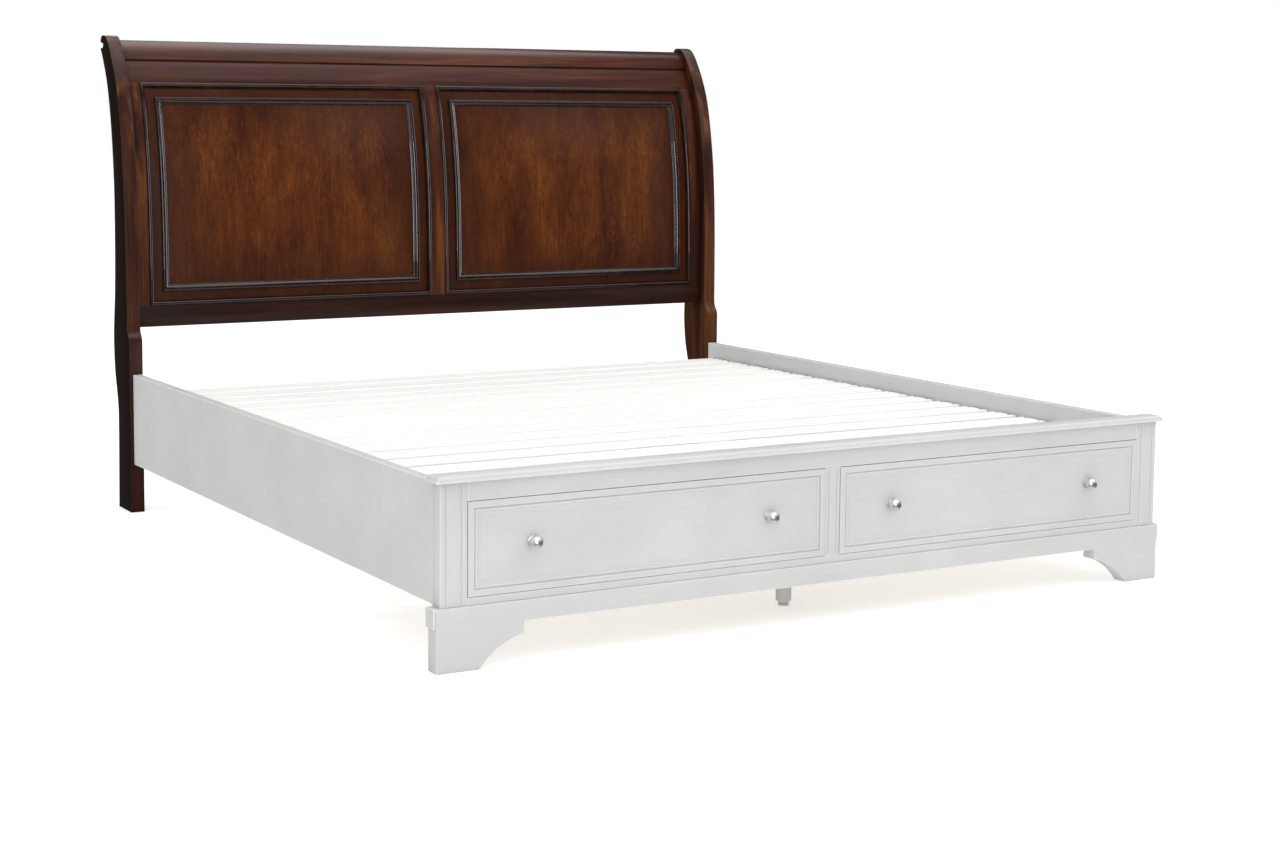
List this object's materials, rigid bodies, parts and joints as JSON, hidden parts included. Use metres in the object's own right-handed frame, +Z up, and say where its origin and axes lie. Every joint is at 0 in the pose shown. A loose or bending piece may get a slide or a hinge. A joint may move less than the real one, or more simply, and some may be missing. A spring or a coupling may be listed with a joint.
{
  "type": "sleigh bed",
  "caption": "Sleigh bed with a curved panelled headboard between scrolled posts, flat side rails, a slatted deck and a low footboard with drawers on a bracket-foot plinth.",
  "frame": {"origin": "middle of the footprint on the floor", "axes": "+Z up, +Y from the foot end to the headboard, +X to the right of someone who faces the headboard from the foot end"},
  "size_m": [2.052, 2.3232, 1.396],
  "materials": {
    "head_frame_wood": "dark cherry-brown satin lacquer",
    "head_panel_wood": "warm brown figured veneer under satin lacquer",
    "head_bead_wood": "near-black glazed moulding, glossy",
    "back_ply": "stained plywood, matte",
    "base_paint": "pale grey satin paint",
    "slat_wood": "whitewashed softwood, matte",
    "drawer_wood": "clear-lacquered light hardwood",
    "knob_metal": "satin nickel"
  },
  "bodies": {
    "bed": {"post_left": "head_frame_wood", "post_right": "head_frame_wood", "crest_rail": "head_frame_wood", "upper_rail": "head_frame_wood", "lower_rail": "head_frame_wood", "stile_left": "head_frame_wood", "stile_right": "head_frame_wood", "stile_center": "head_frame_wood", "panel_left": "head_panel_wood", "panel_right": "head_panel_wood", "outer_bead_left": "head_bead_wood", "outer_bead_right": "head_bead_wood", "inner_bead_left": "head_bead_wood", "inner_bead_right": "head_bead_wood", "back_board": "back_ply", "side_rail_left": "base_paint", "side_rail_right": "base_paint", "foot_stile_left": "base_paint", "foot_stile_right": "base_paint", "foot_top_rail": "base_paint", "foot_bottom_rail": "base_paint", "foot_stile_center": "base_paint", "foot_cap": "base_paint", "plinth": "base_paint", "plinth_block_left": "base_paint", "plinth_block_right": "base_paint", "leg_head": "base_paint", "leg_middle": "base_paint", "leg_foot": "base_paint", "slat_cleat_left": "slat_wood", "slat_cleat_right": "slat_wood", "center_beam": "slat_wood", "slat_01": "slat_wood", "slat_02": "slat_wood", "slat_03": "slat_wood", "slat_04": "slat_wood", "slat_05": "slat_wood", "slat_06": "slat_wood", "slat_07": "slat_wood", "slat_08": "slat_wood", "slat_09": "slat_wood", "slat_10": "slat_wood", "slat_11": "slat_wood", "slat_12": "slat_wood", "slat_13": "slat_wood", "slat_14": "slat_wood", "slat_15": "slat_wood", "slat_16": "slat_wood", "guide_center": "drawer_wood", "guide_left": "drawer_wood", "guide_right": "drawer_wood", "guide_back_rail": "drawer_wood"},
    "drawer_left": {"drawer_front_left": "base_paint", "drawer_box_left": "drawer_wood", "knob_left_1": "knob_metal", "knob_left_2": "knob_metal"},
    "drawer_right": {"drawer_front_right": "base_paint", "drawer_box_right": "drawer_wood", "knob_right_1": "knob_metal", "knob_right_2": "knob_metal"}
  },
  "joints": [
    {"name": "drawer_left_slide", "type": "slide", "parent": "bed", "child": "drawer_left", "axis": [0, -1, 0], "range_m": [0, 0.32]},
    {"name": "drawer_right_slide", "type": "slide", "parent": "bed", "child": "drawer_right", "axis": [0, -1, 0], "range_m": [0, 0.32]}
  ]
}
